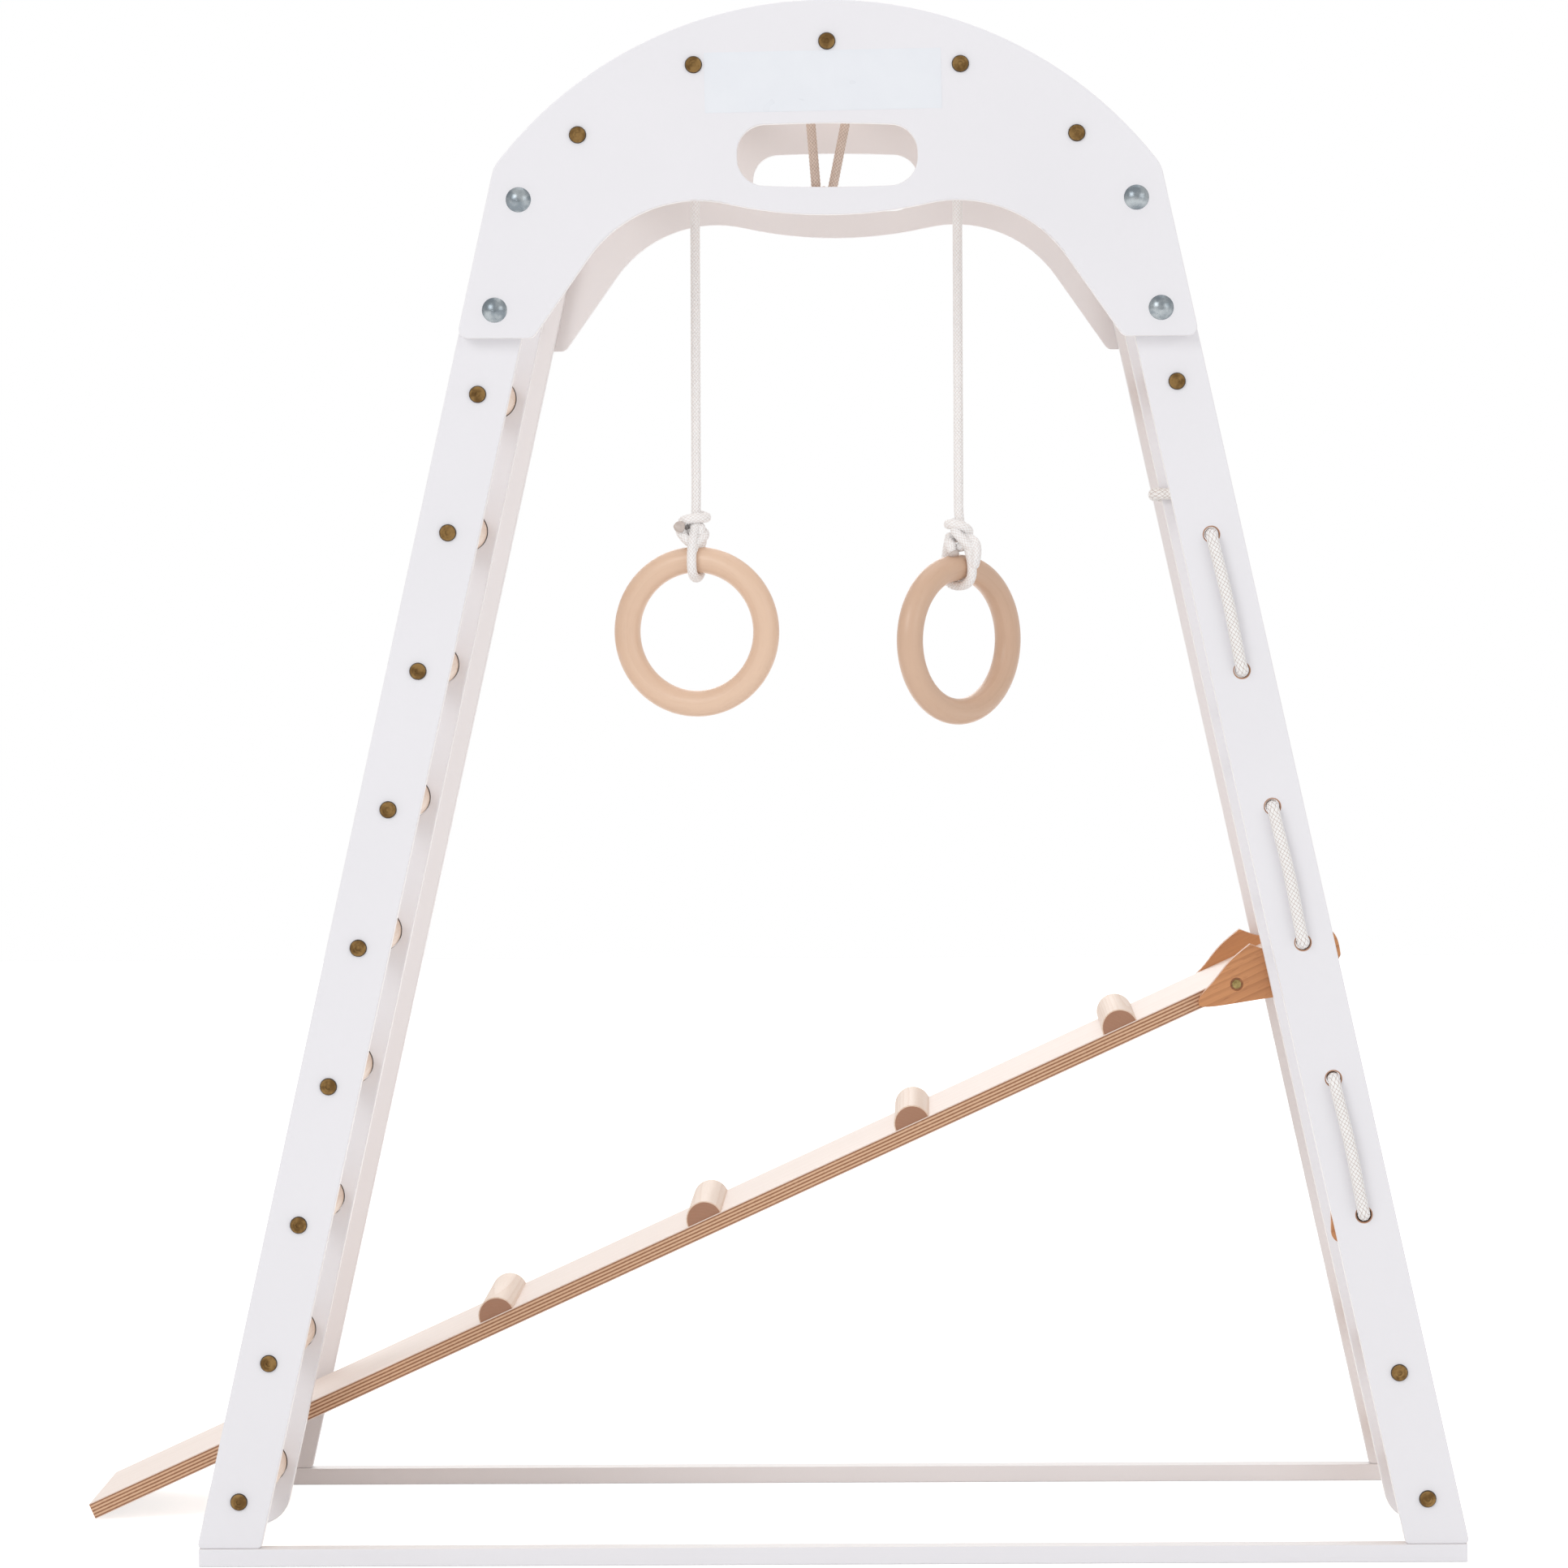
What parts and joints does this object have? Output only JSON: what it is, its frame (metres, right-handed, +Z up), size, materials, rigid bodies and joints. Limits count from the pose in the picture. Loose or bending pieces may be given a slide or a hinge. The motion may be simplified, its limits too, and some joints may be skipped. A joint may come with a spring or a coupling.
{
  "type": "indoor climbing frame",
  "caption": "Wooden A-shaped indoor climbing frame with arched tops, ladder, laced rope side, top bars, gymnastic rings, rope sling and a hooked ribbed ramp.",
  "frame": {"origin": "on the floor, under the middle of the whole part's bounding box, ramp included; the frame's own middle plane is at X = 0.0640 m", "axes": "+Z up from the floor; +Y from the front arch to the back arch; +X from the ladder side to the laced rope side"},
  "size_m": [1.2254, 0.65, 1.35],
  "materials": {
    "white_paint": "satin white paint over birch plywood, edges painted too",
    "ladder_beech": "clear satin lacquer on round beech",
    "birch_ply": "clear satin lacquer on birch plywood with striped edges",
    "birch_rib": "clear satin lacquer on half-round birch",
    "hook_hardwood": "oiled orange-brown hardwood",
    "ring_beech": "satin lacquered bent beech",
    "white_rope": "white diamond-braided rope",
    "antique_brass": "antique brass plating, flat head with a hex socket",
    "zinc": "blue-grey zinc plating",
    "yellow_zinc": "yellow zinc plating",
    "label_white": "blank white sticker"
  },
  "bodies": {
    "frame": {"arch_bar_1": "ladder_beech", "arch_bar_2": "ladder_beech", "arch_bar_3": "ladder_beech", "arch_bar_4": "ladder_beech", "arch_bar_5": "ladder_beech", "arch_bolt_nuts": "zinc", "arch_bolt_washers": "zinc", "arch_bolts": "zinc", "back_arch": "white_paint", "back_left_post": "white_paint", "back_rail": "white_paint", "back_right_post": "white_paint", "connector_bolts": "antique_brass", "front_arch": "white_paint", "front_left_post": "white_paint", "front_rail": "white_paint", "front_right_post": "white_paint", "hook_bar": "ladder_beech", "label_plate": "label_white", "ladder_rung_1": "ladder_beech", "ladder_rung_2": "ladder_beech", "ladder_rung_3": "ladder_beech", "ladder_rung_4": "ladder_beech", "ladder_rung_5": "ladder_beech", "ladder_rung_6": "ladder_beech", "ladder_rung_7": "ladder_beech", "ladder_rung_8": "ladder_beech", "ladder_rung_9": "ladder_beech", "middle_left_board": "white_paint", "middle_right_board": "white_paint", "rail_screws": "zinc", "right_bar_1": "ladder_beech", "right_bar_2": "ladder_beech", "right_bar_3": "ladder_beech", "rope_toggle": "hook_hardwood", "side_rope": "white_rope", "side_rope_end_knot": "white_rope", "side_rope_knot": "white_rope", "thread_inserts": "zinc"},
    "ramp": {"far_hook": "hook_hardwood", "hook_screws": "yellow_zinc", "near_hook": "hook_hardwood", "ramp_board": "birch_ply", "ramp_rib_1": "birch_rib", "ramp_rib_2": "birch_rib", "ramp_rib_3": "birch_rib", "ramp_rib_4": "birch_rib", "rib_screws": "yellow_zinc"},
    "left_rope": {"left_ring_rope": "white_rope", "left_bar_knot": "white_rope", "left_ring_knot": "white_rope"},
    "left_ring_body": {"left_ring": "ring_beech"},
    "right_rope": {"right_ring_rope": "white_rope", "right_bar_knot": "white_rope", "right_ring_knot": "white_rope"},
    "right_ring_body": {"right_ring": "ring_beech"},
    "sling": {"centre_rope_loop": "white_rope", "centre_rope_knot": "white_rope"}
  },
  "joints": [
    {"name": "ramp_hinge", "type": "hinge", "parent": "frame", "child": "ramp", "pos_m": [0.48413, 0.146, 0.4785], "axis": [0, 1, 0], "range_deg": [0, 24]},
    {"name": "left_rope_swing", "type": "hinge", "parent": "frame", "child": "left_rope", "pos_m": [-0.05096, -0.15, 1.294], "axis": [0, 1, 0], "range_deg": [-4, 13]},
    {"name": "left_ring_tilt", "type": "hinge", "parent": "left_rope", "child": "left_ring_body", "pos_m": [-0.05496, -0.15, 0.8665], "axis": [0.9703, -0.2419, 0], "range_deg": [-60, 60]},
    {"name": "right_rope_swing", "type": "hinge", "parent": "frame", "child": "right_rope", "pos_m": [0.17904, -0.15, 1.294], "axis": [0, 1, 0], "range_deg": [-13, 4]},
    {"name": "right_ring_tilt", "type": "hinge", "parent": "right_rope", "child": "right_ring_body", "pos_m": [0.17644, -0.15, 0.8585], "axis": [0.682, 0.7314, 0], "range_deg": [-55, 30]},
    {"name": "sling_swing", "type": "hinge", "parent": "frame", "child": "sling", "pos_m": [0.06404, 0, 1.314], "axis": [0, 1, 0], "range_deg": [-50, 50]}
  ]
}
